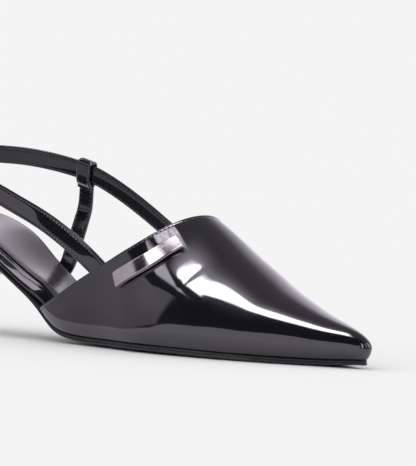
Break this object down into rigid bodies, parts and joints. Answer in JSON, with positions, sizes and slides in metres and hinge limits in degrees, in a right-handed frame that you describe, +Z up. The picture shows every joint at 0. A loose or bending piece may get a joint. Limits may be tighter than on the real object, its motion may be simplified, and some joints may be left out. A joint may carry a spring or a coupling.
{
  "type": "slingback pump",
  "caption": "Right pointed-toe slingback pump with an open waist, a low covered heel, a sling strap held by a looped side strap, and a plain metal bar on the vamp.",
  "frame": {"origin": "middle of the whole shoe's bounding box in plan, at floor height", "axes": "+X from the heel to the toe, +Y to the inner side of the foot, +Z up"},
  "size_m": [0.2564, 0.0712, 0.0874],
  "materials": {
    "patent": "high gloss patent, black",
    "sock_leather": "smooth, dark grey, half gloss",
    "sole_rubber": "satin black",
    "bar_metal": "polished gunmetal, bare"
  },
  "bodies": {
    "root": {"outsole": "sole_rubber", "heel": "patent", "heel_tip": "sole_rubber", "insole": "patent", "sock": "sock_leather", "upper": "patent", "sling_strap": "patent", "side_strap": "patent", "bar": "bar_metal"}
  },
  "joints": []
}
